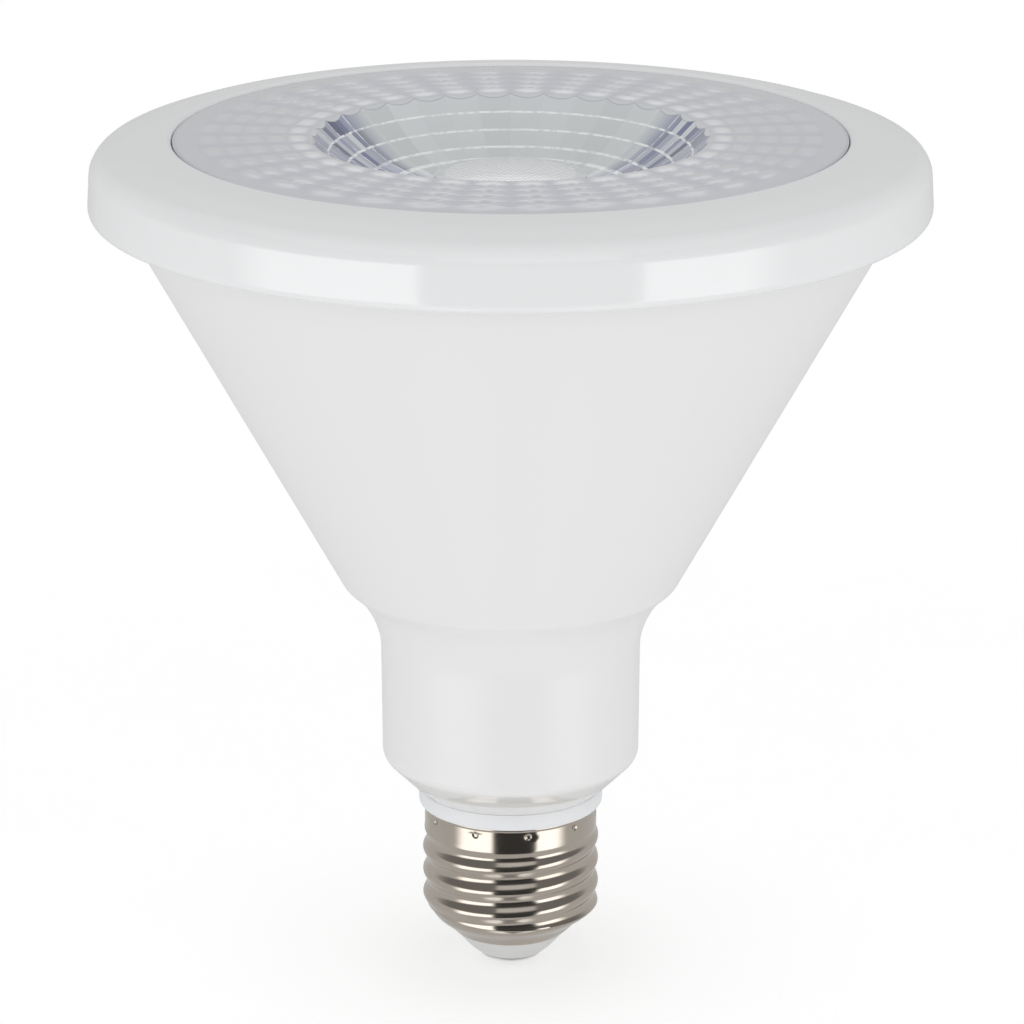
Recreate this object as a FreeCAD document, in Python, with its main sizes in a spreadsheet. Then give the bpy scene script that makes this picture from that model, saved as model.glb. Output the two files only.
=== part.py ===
import FreeCAD, Part
import math
import os
import Sketcher

# LED reflector lamp with a screw cap, cap down and lens up.
# Millimetres. The origin is the middle of the centre contact's bottom face, +Z up the lamp's axis.

doc = FreeCAD.newDocument("reflector_lamp")
sheet = doc.addObject("Spreadsheet::Sheet", "Sizes")

dimensions = {
    # Screw cap
    "cap_height": 25.2,
    "shell_radius": 12.83,
    "shell_wall": 0.3,
    "taper_width": 4.18,
    "shell_edge_height": 5.1,
    "taper_height": 4.0,
    "thread_pitch": 3.629,
    "thread_depth": 0.65,
    "thread_steps": 6,
    "thread_end": 23.3,
    "thread_crest_height": 17.9,
    "contact_radius": 4.6,
    "contact_flat_radius": 1.6,
    "contact_height": 1.15,
    "contact_rim": 0.25,
    "rivet_radius": 0.9,
    "rivet_length": 7.0,
    "insulator_depth": 2.2,
    # Collar that carries the cap
    "flange_overhang": 0.92,
    "flange_height": 2.6,
    "flange_round": 0.5,
    "base_wall": 1.8,
    "base_bottom": 10.5,
    "sleeve_height": 12.5,
    # Housing
    "housing_wall": 1.6,
    "housing_floor": 1.8,
    "neck_chamfer": 5.28,
    "neck_draft": 0.17,
    "neck_height": 27.55,
    "neck_edge_round": 2.0,
    "shoulder_rise": 4.85,
    "shoulder_spread": 5.55,
    "neck_fillet": 12.0,
    "shoulder_round": 2.4,
    "cone_height": 57.7,
    "cone_top_radius": 56.6,
    "rim_ledge": 1.5,
    "rim_height": 3.7,
    # Front ring
    "ring_overhang": 4.07,
    "ring_draft": 0.5,
    "ring_lip": 1.7,
    "ring_shoulder_drop": 2.6,
    "ring_wall": 1.8,
    "ring_face": 12.27,
    "ring_break_inset": 6.27,
    "ring_break_drop": 0.7,
    "ring_crown": 0.45,
    "ring_bottom_round": 1.5,
    "ring_shoulder_round": 3.4,
    "ring_break_round": 12.0,
    "ring_inner_round": 1.0,
    # Lens
    "lens_gap": 0.2,
    "lens_step": 1.5,
    "lens_edge": 2.4,
    "lens_flange": 1.4,
    "lens_plate": 2.5,
    "lens_columns": 36,
    "lens_rows": 5,
    "lens_margin": 3.3,
    "bowl_land": 0.2,
    "row_groove": 0.8,
    "row_groove_share": 0.28,
    "bowl_radius": 28.7,
    "bowl_depth": 8.2,
    "bowl_wall": 1.9,
    "button_share": 0.38,
    "button_depth": 5.7,
    "button_crown": 0.5,
    "button_wall": 3.0,
    "button_skirt": 1.2,
    "seal_width": 2.8,
    "seal_height": 1.0,
    # Aluminium parts
    "tray_wall": 1.2,
    "tray_floor": 1.5,
    "tray_depth": 9.1,
    "tray_inset": 3.4,
    "tray_edge": 0.5,
    "liner_wall": 1.2,
    "liner_start": 3.8,
    # Light board
    "pad_inset": 1.0,
    "pad_height": 0.3,
    "board_radius": 30.0,
    "board_height": 1.5,
    "screw_inset": 6.0,
    "screw_count": 3,
    "screw_phase": 0.25,
    "screw_radius": 1.5,
    "screw_head_radius": 2.8,
    "screw_head": 1.8,
    "screw_length": 3.6,
    "led_width": 3.5,
    "led_depth": 2.8,
    "led_height": 0.7,
    "led_inner_circle": 2.9,
    "led_inner_count": 4,
    "led_outer_circle": 7.4,
    "led_outer_count": 11,
    # Driver
    "circuit_thickness": 1.6,
    "circuit_clearance": 2.43,
    "circuit_height": 43.0,
    "tongue_height": 16.0,
    "lead_radius": 0.8,
    "lead_inset": 2.0,
    "lead_overlap": 5.0,
    "neutral_radius": 0.45,
    "neutral_bend": 1.5,
    "fuse_radius": 1.8,
    "fuse_length": 9.0,
    "fuse_wire_radius": 0.35,
    "core_leg": 5.0,
    "core_window_width": 3.0,
    "core_window_height": 9.0,
    "coil_wall": 1.8,
    "coil_build": 2.8,
    "resistor_column": 4.0,
    "resistor_row": 6.0,
    # Clearances
    "seat_gap": 0.1,
    "ring_gap": 0.25,
    "hole_gap": 0.2,
    "cutter_margin": 1.0,
}

# Blocks on the driver board: width, depth off the board, height, and their place across and up the board.
components = {
    "film_capacitor": (10.0, 5.0, 9.0, 1.0, 4.0),
    "bridge_rectifier": (5.0, 2.5, 4.0, -9.0, 6.0),
    "driver_chip": (4.0, 1.5, 5.0, 2.0, 12.0),
    "output_diode": (2.6, 2.2, 4.5, 9.0, 26.0),
    "chip_resistor": (1.6, 0.6, 3.2, -11.0, 20.0),
    "core": (16.0, 5.0, 14.0, -8.0, 24.0),
}
for component, numbers in components.items():
    for side, number in zip(("width", "depth", "height", "across", "up"), numbers):
        dimensions[component + "_" + side] = number

# Round capacitors: radius, length, and their place across and up the board.
capacitors = {
    "input_capacitor": (5.0, 16.0, -7.5, 3.0),
    "output_capacitor": (3.0, 11.0, 11.5, 22.0),
}
for capacitor, numbers in capacitors.items():
    for side, number in zip(("radius", "length", "across", "up"), numbers):
        dimensions[capacitor + "_" + side] = number

# The bowl's rings, from the lens face inwards: shares of its radius and of its depth.
bowl_rings = {
    "rim": (1.0, 0.0),
    "upper": (0.913, 0.28),
    "middle": (0.819, 0.537),
    "lower": (0.714, 0.768),
    "inner": (0.61, 0.902),
    "floor": (0.498, 1.0),
}
for ring_name, (ring_share, ring_fall) in bowl_rings.items():
    dimensions["bowl_" + ring_name + "_share"] = ring_share
    dimensions["bowl_" + ring_name + "_fall"] = ring_fall

for row, (alias, number) in enumerate(dimensions.items(), start=1):
    sheet.set("A%d" % row, alias)
    sheet.set("B%d" % row, str(number))
    sheet.setAlias("B%d" % row, alias)
doc.recompute()


def size(alias):
    return float(sheet.get(alias))


# Radii that follow from the sheet's, from the cap's shell out to the ring, and from the ring in to the lens.
follows = {
    "shell_edge_radius": "shell_radius - taper_width",
    "flange_radius": "shell_radius + flange_overhang",
    "neck_radius": "flange_radius + neck_chamfer",
    "neck_top_radius": "neck_radius + neck_draft",
    "shoulder_radius": "neck_top_radius + shoulder_spread",
    "rim_radius": "cone_top_radius + rim_ledge",
    "ring_radius": "cone_top_radius + ring_overhang",
    "ring_top_radius": "ring_radius - ring_draft",
    "ring_break_radius": "ring_radius - ring_break_inset",
    "ring_inner_radius": "ring_radius - ring_face",
    "lens_radius": "ring_inner_radius - lens_gap",
    "lens_flange_radius": "lens_radius + lens_edge",
    "row_start": "bowl_radius + bowl_land",
    "row_width": "( lens_radius - lens_margin - row_start ) / lens_rows",
    "row_groove_width": "row_width * row_groove_share",
    "button_radius": "bowl_radius * button_share",
    "led_pocket_radius": "button_radius - button_skirt",
    "tray_radius": "lens_radius - tray_inset",
    "tray_flange_radius": "rim_radius - tray_edge",
    "pad_radius": "board_radius - pad_inset",
    "screw_circle": "board_radius - screw_inset",
    "circuit_half_width": "neck_radius - housing_wall - circuit_clearance",
    "lead_spread": "circuit_half_width - lead_inset",
}
for ring_name in bowl_rings:
    follows["bowl_" + ring_name + "_radius"] = "bowl_radius * bowl_" + ring_name + "_share"
    follows["bowl_" + ring_name + "_depth"] = "bowl_depth * bowl_" + ring_name + "_fall"


def reference(word):
    """A formula's word as a reference to the sheet, or as the formula that it follows from."""
    if word in follows:
        return "( " + bind(follows[word]) + " )"
    return "Sizes." + word if word in dimensions else word


def bind(words):
    """Turn the words of a formula into references to the sheet's cells."""
    parts = words.replace("(", " ( ").replace(")", " ) ").split()
    return " ".join(reference(part) for part in parts).replace("sqrt (", "sqrt(")


# Heights above the origin, each as a formula of the sheet.
flange_top = "cap_height + flange_height"
neck_edge = flange_top + " + neck_chamfer"
neck_top = flange_top + " + neck_height"
shoulder_top = neck_top + " + shoulder_rise"
cone_top = shoulder_top + " + cone_height"
rim_top = cone_top + " + rim_height"
tray_top = rim_top + " + tray_wall"
seal_top = tray_top + " + seal_height"
lens_flange_top = seal_top + " + lens_flange"
lens_top = lens_flange_top + " + lens_step"
ring_top = lens_top + " + ring_crown"
ring_shoulder = ring_top + " - ring_shoulder_drop"
ring_bottom = cone_top + " - ring_lip - seat_gap"
tray_floor_top = tray_top + " - tray_depth"
tray_bottom = tray_floor_top + " - tray_floor"
board_bottom = tray_floor_top + " + pad_height"
board_top = board_bottom + " + board_height"
sleeve_top = flange_top + " + sleeve_height"
circuit_bottom = sleeve_top + " + seat_gap - tongue_height"
circuit_top = sleeve_top + " + seat_gap + circuit_height"
rivet_top = "contact_height + rivet_length"

# Radii
slope = "( ( cone_top_radius - shoulder_radius ) / cone_height )"
slant = "sqrt ( 1 + " + slope + " ^ 2 )"
sleeve_radius = "( shell_radius - thread_depth / 2 - shell_wall - seat_gap )"
sleeve_bore = "( " + sleeve_radius + " - base_wall )"
opening_radius = "( " + sleeve_radius + " + seat_gap )"


def cone_radius(height, inset="0"):
    """Radius of the housing's cone at a height, less an inset measured square to its wall."""
    rise = "( " + height + " - ( " + shoulder_top + " ) )"
    return "shoulder_radius + " + rise + " * " + slope + " - ( " + inset + " ) * " + slant


def new_body(name):
    body = doc.addObject("PartDesign::Body", name)
    body.Label = name
    return body


def plane_of(body, role):
    return next(feature for feature in body.Origin.OriginFeatures if feature.Role == role)


def outline(body, name, corners, role="XZ_Plane"):
    """Closed sketch whose corners are formulas (across, up), measured from the origin."""
    sketch = body.newObject("Sketcher::SketchObject", name)
    sketch.AttachmentSupport = (plane_of(body, role), [""])
    sketch.MapMode = "FlatFace"
    count = len(corners)
    spots = [FreeCAD.Vector(1 + i, 1 + i * i, 0) for i in range(count)]
    for i in range(count):
        sketch.addGeometry(Part.LineSegment(spots[i], spots[(i + 1) % count]), False)
    for i in range(count):
        sketch.addConstraint(Sketcher.Constraint("Coincident", i, 2, (i + 1) % count, 1))
    for i, corner in enumerate(corners):
        for kind, axis, formula in (("DistanceX", -2, corner[0]), ("DistanceY", -1, corner[1])):
            if formula == "0":
                sketch.addConstraint(Sketcher.Constraint("PointOnObject", i, 1, axis))
                continue
            ends = (i, 1, -1, 1) if formula.startswith("-") else (-1, 1, i, 1)
            number = sketch.addConstraint(Sketcher.Constraint(kind, *ends, 1.0 + i))
            sketch.setExpression("Constraints[%d]" % number, bind(formula.lstrip("-")))
    doc.recompute()
    return sketch


def ring_edges(shape, radius, height):
    """Names of the full circles about the axis at a radius and a height."""
    names = []
    for number, edge in enumerate(shape.Edges, start=1):
        if not isinstance(edge.Curve, Part.Circle):
            continue
        centre = edge.Curve.Center
        if math.hypot(centre.x, centre.y) > 0.001 or abs(centre.z - height) > 0.001:
            continue
        if abs(edge.Curve.Radius - radius) < 0.001:
            names.append("Edge%d" % number)
    return names


def turned(name, corners):
    """Body turned about Z from a section; a corner's third entry is the radius of its round."""
    body = new_body(name)
    sketch = outline(body, name + "_section", corners)
    turn = body.newObject("PartDesign::Revolution", name + "_turn")
    turn.Profile = sketch
    turn.ReferenceAxis = (sketch, ["V_Axis"])
    turn.Angle = 360.0
    sketch.Visibility = False
    doc.recompute()
    last = turn
    for i, corner in enumerate(corners):
        if len(corner) < 3:
            continue
        spot = sketch.getPoint(i, 1)
        rounding = body.newObject("PartDesign::Fillet", "%s_round_%d" % (name, i))
        rounding.Base = (last, ring_edges(last.Shape, spot.x, spot.y))
        rounding.setExpression("Radius", bind(corner[2]))
        doc.recompute()
        last = rounding
    return body


def bound(kind, name, sizes=(), place=()):
    """Part object whose sizes and place are formulas."""
    item = doc.addObject(kind, name)
    item.Label = name
    for field, formula in sizes:
        item.setExpression(field, bind(formula))
    for axis, formula in zip("xyz", place):
        item.setExpression("Placement.Base." + axis, bind(formula))
    return item


def block(name, width, depth, height, place):
    return bound("Part::Box", name, (("Length", width), ("Width", depth), ("Height", height)), place)


def rod(name, radius, height, place):
    return bound("Part::Cylinder", name, (("Radius", radius), ("Height", height)), place)


def cut(name, base, tools):
    """Base less a list of tools."""
    holes = tools[0]
    if len(tools) > 1:
        holes = doc.addObject("Part::Compound", name + "_holes")
        holes.Links = tools
    result = doc.addObject("Part::Cut", name)
    result.Label = name
    result.Base = base
    result.Tool = holes
    return result


def join(name, items):
    result = doc.addObject("Part::MultiFuse", name)
    result.Label = name
    result.Shapes = items
    return result


def group(name, items):
    result = doc.addObject("Part::Compound", name)
    result.Label = name
    result.Links = items
    return result


def around(circle, count, index):
    """Formulas for one of count places on a circle about the axis."""
    angle = 2 * math.pi * index / count
    return "%s * %.6f" % (circle, math.cos(angle)), "%s * %.6f" % (circle, math.sin(angle))


def threaded_blank():
    """Straight loft through circles whose centre runs round a helix: one start of rounded thread."""
    bottom = size("shell_edge_height")
    top = size("cap_height")
    taper = size("taper_height")
    pitch = size("thread_pitch")
    steps = round((top - bottom) / pitch * size("thread_steps"))
    sections = []
    for step in range(steps + 1):
        height = bottom + (top - bottom) * step / steps
        open_part = min(1.0, (height - bottom) / taper)
        fade = min(1.0, max(0.0, (size("thread_end") - height) / (pitch / 2)))
        offset = size("thread_depth") / 2 * fade * open_part
        radius = size("shell_radius") - size("taper_width") * (1 - open_part)
        angle = math.pi + 2 * math.pi * (height - size("thread_crest_height")) / pitch
        centre = FreeCAD.Vector(offset * math.cos(angle), offset * math.sin(angle), height)
        circle = Part.Circle(centre, FreeCAD.Vector(0, 0, 1), radius)
        sections.append(Part.Wire([circle.toShape()]))
    return Part.makeLoft(sections, True, True)


# Screw cap: contact, insulator and threaded shell.
centre_contact = turned("centre_contact", [
    ("0", "0"),
    ("contact_flat_radius", "0"),
    ("contact_radius", "contact_height - contact_rim"),
    ("contact_radius", "contact_height"),
    ("rivet_radius", "contact_height"),
    ("rivet_radius", rivet_top),
    ("0", rivet_top),
])

insulator_radius = "shell_edge_radius - shell_wall - seat_gap"
cap_insulator = turned("cap_insulator", [
    ("rivet_radius + seat_gap", "contact_height"),
    ("contact_radius + seat_gap", "contact_height"),
    (insulator_radius, "shell_edge_height"),
    (insulator_radius, "shell_edge_height + insulator_depth"),
    ("rivet_radius + seat_gap", "shell_edge_height + insulator_depth"),
])

shell_blank = doc.addObject("Part::Feature", "shell_blank")
shell_blank.Shape = threaded_blank()
shell_blank.Placement = FreeCAD.Placement()
shell_bore_radius = "shell_radius - thread_depth / 2 - shell_wall"
shell_bore = turned("shell_bore", [
    ("0", "shell_edge_height - cutter_margin"),
    ("shell_edge_radius - shell_wall", "shell_edge_height - cutter_margin"),
    ("shell_edge_radius - shell_wall", "shell_edge_height"),
    (shell_bore_radius, "shell_edge_height + taper_height"),
    (shell_bore_radius, "cap_height + cutter_margin"),
    ("0", "cap_height + cutter_margin"),
])
cap_shell = cut("cap_shell", shell_blank, [shell_bore])

# Collar: the flange shows between the cap and the housing.
cap_base = turned("cap_base", [
    (sleeve_bore, "base_bottom"),
    (sleeve_radius, "base_bottom"),
    (sleeve_radius, "cap_height"),
    ("flange_radius - seat_gap", "cap_height", "flange_round"),
    ("flange_radius", flange_top),
    (sleeve_radius, flange_top),
    (sleeve_radius, sleeve_top),
    (sleeve_bore, sleeve_top),
])

# Housing: one moulding from the collar to the rim that the front ring snaps over.
housing = turned("housing", [
    (opening_radius, flange_top),
    ("flange_radius", flange_top),
    ("neck_radius", neck_edge, "neck_edge_round"),
    ("neck_top_radius", neck_top, "neck_fillet"),
    ("shoulder_radius", shoulder_top, "shoulder_round"),
    ("cone_top_radius", cone_top),
    ("rim_radius", cone_top),
    ("rim_radius", rim_top),
    (cone_radius(cone_top, "housing_wall"), rim_top),
    (cone_radius(cone_top, "housing_wall"), cone_top),
    (cone_radius(shoulder_top, "housing_wall"), shoulder_top),
    ("neck_top_radius - housing_wall", neck_top),
    ("neck_radius - housing_wall", neck_edge),
    (opening_radius, flange_top + " + housing_floor"),
])

# Front ring: a domed face, a band and a lip that snaps under the housing's rim.
ring_inside = "rim_radius + ring_gap"
front_ring = turned("front_ring", [
    (cone_radius(ring_bottom, "0 - ring_gap"), ring_bottom),
    ("ring_radius", ring_bottom, "ring_bottom_round"),
    ("ring_top_radius", ring_shoulder, "ring_shoulder_round"),
    ("ring_break_radius", ring_top + " - ring_break_drop", "ring_break_round"),
    ("ring_inner_radius", ring_top, "ring_inner_round"),
    ("ring_inner_radius", lens_flange_top + " + seat_gap"),
    ("lens_flange_radius + ring_gap", lens_flange_top + " + seat_gap"),
    (ring_inside, ring_shoulder + " - ring_wall"),
    (ring_inside, ring_bottom + " + ring_lip"),
    (cone_radius(ring_bottom + " + ring_lip", "0 - ring_gap"), ring_bottom + " + ring_lip"),
])

# Lens blank: a flat face, a stepped edge and rows of pads parted by grooves on the underside.
plate_bottom = lens_top + " - lens_plate"
row_corners = []
for row in range(int(size("lens_rows")) + 1):
    middle = "row_start + %d * row_width" % row
    row_corners += [
        (middle + " - row_groove_width / 2", plate_bottom),
        (middle, plate_bottom + " + row_groove"),
        (middle + " + row_groove_width / 2", plate_bottom),
    ]


def under_bowl(name):
    """Corner of the lens's underside below one of the bowl's rings."""
    return "bowl_%s_radius" % name, lens_top + " - bowl_%s_depth - bowl_wall" % name


lens_blank = turned("lens_blank", [
    ("0", lens_top),
    ("0", lens_top + " - button_depth - button_wall"),
    ("led_pocket_radius", lens_top + " - button_depth - button_wall"),
    ("led_pocket_radius", lens_top + " - bowl_floor_depth - bowl_wall"),
    under_bowl("floor"),
    under_bowl("inner"),
    under_bowl("lower"),
    under_bowl("middle"),
    ("bowl_radius - row_groove_width", plate_bottom),
] + row_corners + [
    ("lens_radius", plate_bottom),
    ("lens_radius", seal_top),
    ("lens_flange_radius", seal_top),
    ("lens_flange_radius", lens_flange_top),
    ("lens_radius", lens_flange_top),
    ("lens_radius", lens_top),
])

column_groove = outline(lens_blank, "column_groove", [
    ("-row_groove_width / 2", plate_bottom + " - seat_gap"),
    ("row_groove_width / 2", plate_bottom + " - seat_gap"),
    ("0", plate_bottom + " + row_groove"),
], "YZ_Plane")
column_groove.setExpression("AttachmentOffset.Base.z", bind("row_start"))
one_groove = lens_blank.newObject("PartDesign::Pocket", "one_groove")
one_groove.Profile = column_groove
one_groove.Reversed = True
one_groove.setExpression("Length", bind("lens_rows * row_width"))
doc.recompute()
all_grooves = lens_blank.newObject("PartDesign::PolarPattern", "all_grooves")
all_grooves.Originals = [one_groove]
all_grooves.Axis = (plane_of(lens_blank, "Z_Axis"), [""])
all_grooves.Angle = 360.0
all_grooves.setExpression("Occurrences", bind("lens_columns"))
lens_blank.Tip = all_grooves
doc.recompute()

# The bowl is sunk in the lens with flat facets: rings of the same many-sided outline, lofted straight.
bowl_sections = []
above_face = [("bowl_radius", lens_top + " + seat_gap")]
bowl_places = [("bowl_%s_radius" % ring, lens_top + " - bowl_%s_depth" % ring) for ring in bowl_rings]
for index, (radius, height) in enumerate(above_face + bowl_places):
    ring = bound("Part::RegularPolygon", "bowl_ring_%d" % index, (("Circumradius", radius),),
                 ("0", "0", height))
    ring.setExpression("Polygon", bind("lens_columns"))
    bowl_sections.append(ring)
bowl_space = doc.addObject("Part::Loft", "bowl_space")
bowl_space.Sections = bowl_sections
bowl_space.Solid = True
bowl_space.Ruled = True

# The button in the bowl's middle has a crowned top, cut by a large ball.
ball_radius = "( ( button_radius ^ 2 + button_crown ^ 2 ) / ( 2 * button_crown ) )"
button_top = lens_top + " - button_depth + button_crown"
button_foot = lens_top + " - bowl_floor_depth - seat_gap"
button_rod = rod("button_rod", "button_radius", "bowl_floor_depth + seat_gap", ("0", "0", button_foot))
button_ball = bound("Part::Sphere", "button_ball", (("Radius", ball_radius),),
                    ("0", "0", button_top + " - " + ball_radius))
button = doc.addObject("Part::Common", "button")
button.Base = button_rod
button.Tool = button_ball
lens = join("lens", [cut("lens_with_bowl", lens_blank, [bowl_space]), button])

lens_seal = turned("lens_seal", [
    ("lens_flange_radius - seal_width", tray_top),
    ("lens_flange_radius - seat_gap", tray_top),
    ("lens_flange_radius - seat_gap", seal_top),
    ("lens_flange_radius - seal_width", seal_top),
])

# Holes for the board's screws and for the leads that come up from the driver.
lead_shift = "circuit_thickness / 2 + lead_radius"
lead_places = [("0 - lead_spread", lead_shift), ("lead_spread", lead_shift)]
screw_count = int(size("screw_count"))
screw_places = [around("screw_circle", screw_count, i + size("screw_phase")) for i in range(screw_count)]
stack_height = "tray_floor + pad_height + board_height + 2 * cutter_margin"
stack_bottom = tray_bottom + " - cutter_margin"
lead_holes = [
    rod("lead_hole_%d" % i, "lead_radius + hole_gap", stack_height, (x, y, stack_bottom))
    for i, (x, y) in enumerate(lead_places)
]
screw_holes = [
    rod("screw_hole_%d" % i, "screw_radius + hole_gap", stack_height, (x, y, stack_bottom))
    for i, (x, y) in enumerate(screw_places)
]
tapped_holes = [
    rod("tapped_hole_%d" % i, "screw_radius + seat_gap / 2", stack_height, (x, y, stack_bottom))
    for i, (x, y) in enumerate(screw_places)
]

# Aluminium tray that carries the light board, and the liner that spreads its heat in the cone.
tray_blank = turned("tray_blank", [
    ("0", tray_bottom),
    ("tray_radius", tray_bottom),
    ("tray_radius", rim_top),
    ("tray_flange_radius", rim_top),
    ("tray_flange_radius", tray_top),
    ("tray_radius - tray_wall", tray_top),
    ("tray_radius - tray_wall", tray_floor_top),
    ("0", tray_floor_top),
])
led_tray = cut("led_tray", tray_blank, tapped_holes + lead_holes)

liner_bottom = shoulder_top + " + liner_start"
liner_outside = "housing_wall + seat_gap"
liner_inside = liner_outside + " + liner_wall"
heat_liner = turned("heat_liner", [
    (cone_radius(liner_bottom, liner_inside), liner_bottom),
    (cone_radius(liner_bottom, liner_outside), liner_bottom),
    (cone_radius(cone_top, liner_outside), cone_top),
    (cone_radius(cone_top, liner_outside), rim_top),
    (cone_radius(cone_top, liner_inside), rim_top),
    (cone_radius(cone_top, liner_inside), cone_top),
])

pad_disc = rod("pad_disc", "pad_radius", "pad_height", ("0", "0", tray_floor_top))
thermal_pad = cut("thermal_pad", pad_disc, screw_holes + lead_holes)
board_disc = rod("board_disc", "board_radius", "board_height", ("0", "0", board_bottom))
led_board = cut("led_board", board_disc, screw_holes + lead_holes)

screws = []
for i, (x, y) in enumerate(screw_places):
    head = rod("screw_head_%d" % i, "screw_head_radius", "screw_head", (x, y, board_top))
    shank = rod("screw_shank_%d" % i, "screw_radius", "screw_length", (x, y, board_top + " - screw_length"))
    screws.append(join("screw_%d" % i, [head, shank]))
board_screws = group("board_screws", screws)


def led_circle(ring):
    """Light packages on one circle, their long sides square to the radius."""
    count = int(size("led_%s_count" % ring))
    middle = "( led_%s_circle - led_depth / 2 )" % ring
    packages = []
    for index in range(count):
        angle = 2 * math.pi * index / count
        across, along = math.cos(angle), math.sin(angle)
        item = block("led_%s_%d" % (ring, index), "led_depth", "led_width", "led_height", (
            "%s * %.6f + led_width / 2 * %.6f" % (middle, across, along),
            "%s * %.6f - led_width / 2 * %.6f" % (middle, along, across),
            board_top,
        ))
        item.Placement.Rotation = FreeCAD.Rotation(FreeCAD.Vector(0, 0, 1), math.degrees(angle))
        packages.append(item)
    return packages


led_packages = group("led_packages", led_circle("inner") + led_circle("outer"))

# Driver board: a tongue in the collar's sleeve and a wide part in the neck.
tongue_half = "sqrt ( " + sleeve_bore + " ^ 2 - ( circuit_thickness / 2 ) ^ 2 ) - seat_gap"
circuit_shoulder = sleeve_top + " + seat_gap"
half_outline = [
    (tongue_half, circuit_bottom),
    (tongue_half, circuit_shoulder),
    ("circuit_half_width", circuit_shoulder),
    ("circuit_half_width", circuit_top),
]
driver_board = new_body("driver_board")
circuit_outline = outline(driver_board, "circuit_outline",
                          half_outline + [("-(" + x + ")", z) for x, z in reversed(half_outline)])
circuit_pad = driver_board.newObject("PartDesign::Pad", "circuit_pad")
circuit_pad.Profile = circuit_outline
circuit_pad.SideType = "Symmetric"
circuit_pad.setExpression("Length", bind("circuit_thickness"))
doc.recompute()

front_face = "circuit_thickness / 2"


def on_board(name, depth_start, component="", shift=("0", "0")):
    """Block on the driver board, its height measured from the board's shoulder."""
    component = component or name
    width, depth, height, across, up = (
        "%s_%s" % (component, side) for side in ("width", "depth", "height", "across", "up"))
    place = (across + " + " + shift[0], depth_start, circuit_shoulder + " + " + up + " + " + shift[1])
    return block(name, width, depth, height, place)


def behind(component):
    return "0 - " + front_face + " - " + component + "_depth"


film_capacitor = on_board("film_capacitor", front_face)
for name in ("bridge_rectifier", "driver_chip", "output_diode"):
    on_board(name, behind(name))
chip_resistors = group("chip_resistors", [
    on_board("chip_resistor_%d_%d" % (row, column), behind("chip_resistor"), "chip_resistor",
             ("%d * resistor_column" % column, "%d * resistor_row" % row))
    for row in range(2) for column in range(3)
])
for name in capacitors:
    rod(name, name + "_radius", name + "_length",
        (name + "_across", front_face + " + " + name + "_radius", circuit_shoulder + " + " + name + "_up"))

# Transformer: a core with two windows, and a winding round its middle leg that stands on the board.
core_start = front_face + " + coil_wall"
core_block = on_board("core_block", core_start, "core")
window_up = circuit_shoulder + " + core_up + ( core_height - core_window_height ) / 2"
core_windows = [
    block("core_window_%d" % i, "core_window_width", "core_depth", "core_window_height",
          (x, core_start, window_up))
    for i, x in enumerate(("0 - core_leg / 2 - core_window_width", "core_leg / 2"))
]
transformer_core = cut("transformer_core", core_block, core_windows)
coil_height = "core_window_height - 2 * hole_gap"
coil_up = window_up + " + hole_gap"
coil_block = block("coil_block", "core_leg + 2 * coil_build", "core_depth + 2 * coil_wall", coil_height,
                   ("0 - core_leg / 2 - coil_build", front_face, coil_up))
coil_bore = block("coil_bore", "core_leg + 2 * hole_gap", "core_depth", coil_height,
                  ("0 - core_leg / 2 - hole_gap", core_start, coil_up))
transformer_winding = cut("transformer_winding", coil_block, [coil_bore])

# Leads
fuse_middle = "( " + rivet_top + " + " + circuit_bottom + " ) / 2"
fuse_body = rod("fuse_body", "fuse_radius", "fuse_length", ("0", "0", fuse_middle + " - fuse_length / 2"))
fuse_space = circuit_bottom + " - ( " + rivet_top + " )"
fuse_wire = rod("fuse_wire", "fuse_wire_radius", fuse_space, ("0", "0", rivet_top))
fuse_resistor = join("fuse_resistor", [fuse_body, fuse_wire])

lead_bottom = circuit_top + " - lead_overlap"
lead_height = board_top + " + pad_height - ( " + lead_bottom + " )"
for name, (x, y) in zip(("led_lead_plus", "led_lead_minus"), lead_places):
    rod(name, "lead_radius", lead_height, (x, y, lead_bottom))


def neutral_wire():
    """Wire from the driver board down the sleeve and out under its edge to the shell."""
    radius = size("neutral_radius")
    bend = size("neutral_bend")
    shift = -(size("circuit_thickness") / 2 + radius)
    sleeve = size("shell_radius") - size("thread_depth") / 2 - size("shell_wall") - size("seat_gap")
    inner = -(sleeve - size("base_wall") - bend)
    outer = -(sleeve - size("hole_gap"))
    low = size("base_bottom") - radius - size("seat_gap")
    high = size("cap_height") + size("flange_height")
    corner = bend * (1 - math.sqrt(0.5))
    spots = [
        FreeCAD.Vector(inner, shift, high),
        FreeCAD.Vector(inner, shift, low + bend),
        FreeCAD.Vector(inner - corner, shift, low + corner),
        FreeCAD.Vector(inner - bend, shift, low),
        FreeCAD.Vector(outer, shift, low),
    ]
    path = Part.Wire([
        Part.LineSegment(spots[0], spots[1]).toShape(),
        Part.Arc(spots[1], spots[2], spots[3]).toShape(),
        Part.LineSegment(spots[3], spots[4]).toShape(),
    ])
    profile = Part.Wire([Part.Circle(spots[0], FreeCAD.Vector(0, 0, 1), radius).toShape()])
    return path.makePipeShell([profile], True, False)


neutral_lead = doc.addObject("Part::Feature", "neutral_lead")
neutral_lead.Label = "neutral_lead"
neutral_lead.Shape = neutral_wire()
neutral_lead.Placement = FreeCAD.Placement()

doc.recompute()

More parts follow.
